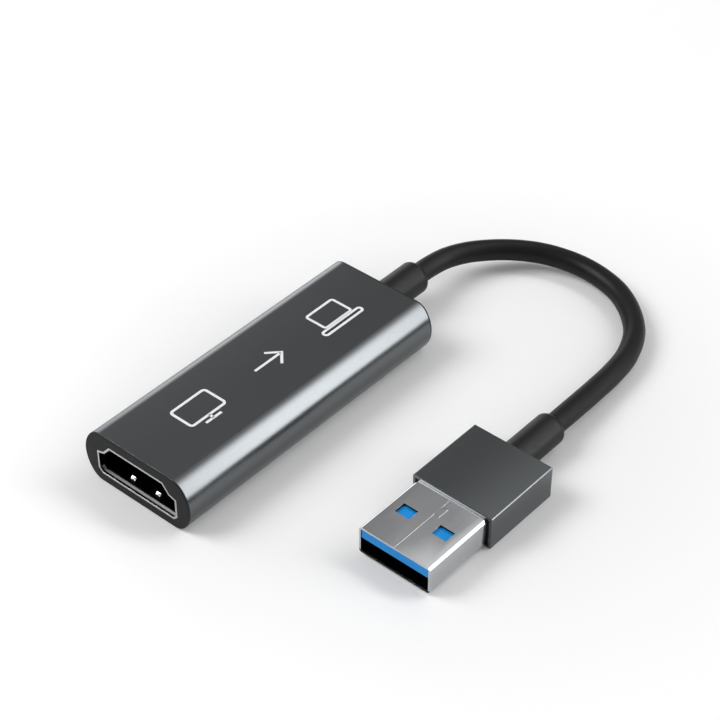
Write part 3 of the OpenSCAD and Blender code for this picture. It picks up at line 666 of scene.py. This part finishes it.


# Folded steel shells: plain nickel outside and on their rims, with painted shade inside and on the plug rim's
# lower front, and a painted light strip on the socket lip's floor

shellSpecs = {
    "socketShell": {
        "node": "socket_shell", "fold": 0.07, "axis": (0, 4.2), "rimDepth": 0.12,
        "rimForward": 0.15,  # the rim all but reaches the cap's face
        "brightSprings": {"places": (-2.4, 2.4), "reach": 0.5, "depth": 1.65},
        "cut": (0, 0.2, 0), "lipDepth": 0.6,  # the lip's floor gets the painted light strip from the cut on
    },
    "plugShell": {
        "node": "plug_shell", "fold": 0.015, "axis": (34.7, 2.7), "rimDepth": 0.1,
        "seam": {"reach": 1.05, "depth": 0.15, "pressed": 0.018},
        "cut": (0, 0, 0.45),  # below the cut, the rim gets the painted shade
    },
}

facing = 0.7  # a normal's share along an axis, above which a face looks that way
leaning = 0.25  # its share towards the shell's axis, above which a face lies inside


def makeShell(name, spec):
    low, high = boxOf(spec["node"])
    axisX, axisZ = spec["axis"]

    def inSeam(place):
        seam = spec.get("seam")
        return seam and abs(place.x - axisX) < seam["reach"] and place.z > high.z - seam["depth"]

    # Crests and tips of the springs are left out of the painted shade and keep the plain nickel
    def isBright(place):
        springs = spec.get("brightSprings")
        return springs and place.y - low.y < springs["depth"] and any(
            abs(place.x - x) < springs["reach"] for x in springs["places"])

    shape = copyNode(spec["node"])
    # The seam's edges butt sharply against each other, with only a shallow groove between them
    for vert in shape.verts:
        sunk = high.z - vert.co.z / mm
        if inSeam(vert.co / mm) and sunk > spec["seam"]["pressed"]:
            vert.co.z = (high.z - spec["seam"]["pressed"]) * mm
        if vert.co.y / mm < low.y + onFace:
            vert.co.y -= spec.get("rimForward", 0) * mm
    roundFolds(shape, spec["fold"], choose=lambda place: not inSeam(place))
    cut = Vector(spec["cut"])
    bmesh.ops.bisect_plane(shape, geom=[*shape.verts, *shape.edges, *shape.faces],
                           plane_co=(low + cut) * mm, plane_no=cut.normalized())
    bmesh.ops.recalc_face_normals(shape, faces=shape.faces)
    shape.normal_update()
    for face in shape.faces:
        place = face.calc_center_median() / mm
        depth = place.y - low.y
        inwards = Vector((axisX - place.x, 0, axisZ - place.z)).normalized()
        facesFront = face.normal.y < -facing
        inside = depth > spec["rimDepth"] and (facesFront or face.normal.dot(inwards) > leaning)
        # Index 2 is the painted light strip on the socket lip's floor; index 1 is painted shade on the inner
        # faces and on the plug rim's lower front
        if cut.y < depth < spec.get("lipDepth", 0) and face.normal.z > facing and place.z < axisZ:
            face.material_index = 2
        elif facesFront and place.z < low.z + cut.z or inside and not isBright(place):
            face.material_index = 1
    finishes = [nickelPlatedSteel, paintedShadeNickel]
    if "lipDepth" in spec:
        finishes.append(paintedLightLipNickel)
    mesh = meshFrom(name, shape, finishes, boxy=True)
    return addPiece(name, mesh, "plated_steel", [spec["node"]])


shells = {name: makeShell(name, spec) for name, spec in shellSpecs.items()}
print("shells folded")


# Mouldings that hold the contacts

mouldingSpecs = {
    "socketInsulator": {
        "node": "socket_insulator", "edge": 0.05, "material": blackPlastic, "slot": "black_plastic",
    },
    "plugCore": {
        "node": "plug_core", "edge": 0.06, "material": blackPlastic, "slot": "black_plastic",
    },
    "plugInsulator": {
        "node": "plug_insulator", "edge": 0.05, "material": bluePlastic, "slot": "blue_plastic",
    },
}


def makeMoulding(name, spec):
    shape = copyNode(spec["node"])
    roundFolds(shape, spec["edge"])
    mesh = meshFrom(name, shape, [spec["material"]], boxy=True)
    return addPiece(name, mesh, spec["slot"], [spec["node"]])


mouldings = {name: makeMoulding(name, spec) for name, spec in mouldingSpecs.items()}
print("mouldings made")


# Contacts, one blade repeated along a row

contactEdge = 0.03
plugContactSpec = {
    "thickness": 0.2, "turn": 8.8, "rise": 0.9, "bowLength": 1.6, "bowLift": 0.5, "bowSteps": 10,
}
rowSpecs = {
    "socketUpperContacts": {"node": "socket_upper_contacts", "count": 10, "pitch": 1, "width": 0.5},
    "socketLowerContacts": {"node": "socket_lower_contacts", "count": 9, "pitch": 1, "width": 0.5},
    "plugInnerContacts": {
        "node": "plug_front_contacts", "count": 2, "pitch": 2, "width": 1, "form": "stepped",
    },
    "plugOuterContacts": {
        "node": "plug_front_contacts", "count": 2, "pitch": 7, "width": 1, "form": "stepped",
    },
    "plugRearContacts": {"node": "plug_rear_contacts", "count": 5, "pitch": 2, "width": 0.6, "form": "bowed"},
}


# Side view of a blade, from its front end to its tail
def bladeProfile(form, low, high):
    if form == "stepped":
        sheet = plugContactSpec["thickness"]
        turn = boxOf("plug_shell")[0].y + plugContactSpec["turn"]
        step = low.z + plugContactSpec["rise"]
        return [(low.y, low.z), (turn, low.z), (turn, step), (high.y, step), (high.y, step + sheet),
                (turn - sheet, step + sheet), (turn - sheet, low.z + sheet), (low.y, low.z + sheet)]
    if form == "bowed":
        sheet, steps = plugContactSpec["thickness"], plugContactSpec["bowSteps"]
        level = high.z - sheet
        bow = [(low.y + plugContactSpec["bowLength"] * i / steps,
                level - plugContactSpec["bowLift"] * math.sin(math.pi * i / steps)) for i in range(steps + 1)]
        return bow + [(high.y, level), (high.y, high.z)] + [(y, z + sheet) for y, z in reversed(bow)]
    return [(low.y, low.z), (high.y, low.z), (high.y, high.z), (low.y, high.z)]


# Tree that sets a blade at even steps along a row
def makeRowTree():
    tree = bpy.data.node_groups.new("contactRow", "GeometryNodeTree")
    for name, kind in (("Blade", "NodeSocketObject"), ("Count", "NodeSocketInt"),
                       ("First place", "NodeSocketVector"), ("Step", "NodeSocketVector"),
                       ("Finish", "NodeSocketMaterial")):
        tree.interface.new_socket(name, in_out="INPUT", socket_type=kind)
    tree.interface.new_socket("Row", in_out="OUTPUT", socket_type="NodeSocketGeometry")
    given = addNode(tree, "NodeGroupInput").outputs
    places = addNode(tree, "GeometryNodeMeshLine", {
        "Count": given["Count"], "Start Location": given["First place"], "Offset": given["Step"]})
    blade = addNode(tree, "GeometryNodeObjectInfo", {"Object": given["Blade"]})
    row = addNode(tree, "GeometryNodeInstanceOnPoints", {"Points": places.outputs["Mesh"],
                                                         "Instance": blade.outputs["Geometry"]})
    solid = addNode(tree, "GeometryNodeRealizeInstances", {"Geometry": row.outputs["Instances"]})
    finished = addNode(tree, "GeometryNodeSetMaterial", {"Geometry": solid.outputs["Geometry"],
                                                         "Material": given["Finish"]})
    addNode(tree, "NodeGroupOutput", {"Row": finished.outputs["Geometry"]})
    return tree


def makeRow(name, spec, tree):
    low, high = boxOf(spec["node"])
    profile = bladeProfile(spec.get("form"), low, high)
    half = spec["width"] / 2
    shape = loft([[(x, y, z) for y, z in profile] for x in (-half, half)])
    roundFolds(shape, contactEdge, segments=1)
    blade = addObject(name + "Blade", meshFrom(name + "Blade", shape, [goldContact]))
    host = addObject(name + "Host", bpy.data.meshes.new(name + "Host"))
    modifier = host.modifiers.new("contactRow", "NODES")
    modifier.node_group = tree
    first = (low.x + high.x) / 2 - (spec["count"] - 1) / 2 * spec["pitch"]
    given = {"Blade": blade, "Count": spec["count"], "First place": (first * mm, 0, 0),
             "Step": (spec["pitch"] * mm, 0, 0), "Finish": goldContact}
    for item in tree.interface.items_tree:
        if item.name in given:
            modifier[item.identifier] = given[item.name]
    row = bpy.data.meshes.new_from_object(host.evaluated_get(bpy.context.evaluated_depsgraph_get()))
    row.name = name
    for helper in (host, blade):
        bpy.data.objects.remove(helper)
    return addPiece(name, row, "gold_contacts", [spec["node"]])


rowTree = makeRowTree()
rows = {name: makeRow(name, spec, rowTree) for name, spec in rowSpecs.items()}
print("contact rows set:", len(rows))


# Materials of the nodes that show their own mesh

innerNodes = {
    "chipResin": ["capture_chip", "memory_chip", "voltage_regulator", "surge_arrays"],
    "crystalCan": ["clock_crystal"],
    "pressedFerrite": ["power_inductor"],
    "firedCeramic": ["bulk_capacitor", "ceramic_capacitors"],
    "resistorFilm": ["chip_resistors"],
    "redCoreInsulation": ["board_power_wires", "plug_power_wires"],
    "whiteCoreInsulation": ["board_data_wires", "plug_data_wires"],
    "blueCoreInsulation": ["board_fast_wires", "plug_fast_wires"],
}
kept = {"main_board": solderMask}
for finish, names in innerNodes.items():
    made = makeInnerFinish(finish)
    kept.update({name: made for name in names})
for name, material in kept.items():
    nodes[name].material_slots[0].material = material
print("kept nodes dressed:", len(kept))


# The cable's centre line in metres, which is not used further

[point * mm for point in cableLine]


# Floor, world and lamps

floorSpec = {
    "size": 6000,
    "drop": 0.02,
    "colour": "#f4f4f4",
    "centre": (12, 12, 0),
    "lift": {"near": 0.04, "far": 0.15, "from": 25, "to": 75},  # light added to what is seen, by distance; the smaller lift near the object paints a shade halo round it
}


def makeFloor(spec):
    half, z = spec["size"] / 2, -spec["drop"]
    shape = bmesh.new()
    corners = [(-half, -half, z), (half, -half, z), (half, half, z), (-half, half, z)]
    shape.faces.new([shape.verts.new(Vector(corner) * mm) for corner in corners])
    material = bpy.data.materials.new("mattWhitePaper")
    material.use_nodes = True
    tree = material.node_tree
    tree.nodes.clear()
    # Seen directly, the paper is lifted to white away from the object; the smaller lift near it is a painted
    # shade halo round the object, and the real shadows stay
    seen = addNode(tree, "ShaderNodeLightPath").outputs["Is Camera Ray"]
    where = addNode(tree, "ShaderNodeTexCoord").outputs["Object"]
    away = addNode(tree, "ShaderNodeVectorMath", {0: where, 1: Vector(spec["centre"]) * mm},
                   operation="DISTANCE")
    added = spec["lift"]
    grown = addNode(tree, "ShaderNodeMapRange", {
        "Value": away.outputs["Value"], "From Min": added["from"] * mm, "From Max": added["to"] * mm,
        "To Min": added["near"], "To Max": added["far"]}, interpolation_type="SMOOTHSTEP")
    lift = addNode(tree, "ShaderNodeMath", {0: seen, 1: grown.outputs["Result"]}, operation="MULTIPLY")
    paper = addNode(tree, "ShaderNodeBsdfDiffuse", {"Color": linear(spec["colour"])})
    glow = addNode(tree, "ShaderNodeEmission", {"Strength": lift.outputs[0]})
    both = addNode(tree, "ShaderNodeAddShader", {0: paper.outputs[0], 1: glow.outputs[0]})
    addNode(tree, "ShaderNodeOutputMaterial", {"Surface": both.outputs[0]})
    floor = addObject("floor", meshFrom("floor", shape, [material]))


studio = {
    "base": 0.3,
    # A curtain of light behind the object, from the left over its top to the right: a direction, the part
    # of it over which the light grows, and how bright it gets against white
    "curtain": [
        {"along": (0.556, -0.467, 0.689), "grows": (-0.02, 0.04), "level": 0.6},
        {"along": (1, 0, 0), "grows": (-0.3, 0.6), "level": 5.6},
        {"along": (-0.94, 0.34, 0), "grows": (0.695, 0.977), "level": 2.4},
    ],
    # The curtain's lower and upper border
    "borders": [
        {"along": (0, 1, 0), "grows": (0.42, 0.48)},
        {"along": (0, -1, 0), "grows": (-0.67, -0.61)},
    ],
    "key": {"place": (-385, -294, 504), "size": 380, "level": 6.7},
}


def lightStudio(spec):
    world = bpy.data.worlds.new("studio")
    scene.world = world
    world.use_nodes = True
    tree = world.node_tree
    tree.nodes.clear()
    direction = addNode(tree, "ShaderNodeTexCoord").outputs["Generated"]

    def grow(part):
        along = addNode(tree, "ShaderNodeVectorMath", {0: direction, 1: part["along"]},
                        operation="DOT_PRODUCT")
        return addNode(tree, "ShaderNodeMapRange", {
            "Value": along.outputs["Value"], "From Min": part["grows"][0], "From Max": part["grows"][1],
            "To Max": part.get("level", 1)}, interpolation_type="SMOOTHSTEP").outputs["Result"]

    light = 0
    for part in spec["curtain"]:
        light = addNode(tree, "ShaderNodeMath", {0: light, 1: grow(part)}).outputs[0]
    for part in spec["borders"]:
        light = addNode(tree, "ShaderNodeMath", {0: light, 1: grow(part)}, operation="MULTIPLY").outputs[0]
    light = addNode(tree, "ShaderNodeMath", {0: light, 1: spec["base"]}).outputs[0]
    ground = addNode(tree, "ShaderNodeBackground", {"Color": linear("#ffffff"), "Strength": light})
    addNode(tree, "ShaderNodeOutputWorld", {"Surface": ground.outputs[0]})

    key = spec["key"]
    data = bpy.data.lights.new("key", "AREA")
    data.size = key["size"] * mm
    data.energy = key["level"] * math.pi * data.size ** 2
    lamp = bpy.data.objects.new("key", data)
    lamp.location = Vector(key["place"]) * mm
    lamp.rotation_euler = lamp.location.to_track_quat("Z", "Y").to_euler()
    scene.collection.objects.link(lamp)


makeFloor(floorSpec)
lightStudio(studio)
print("studio lit")
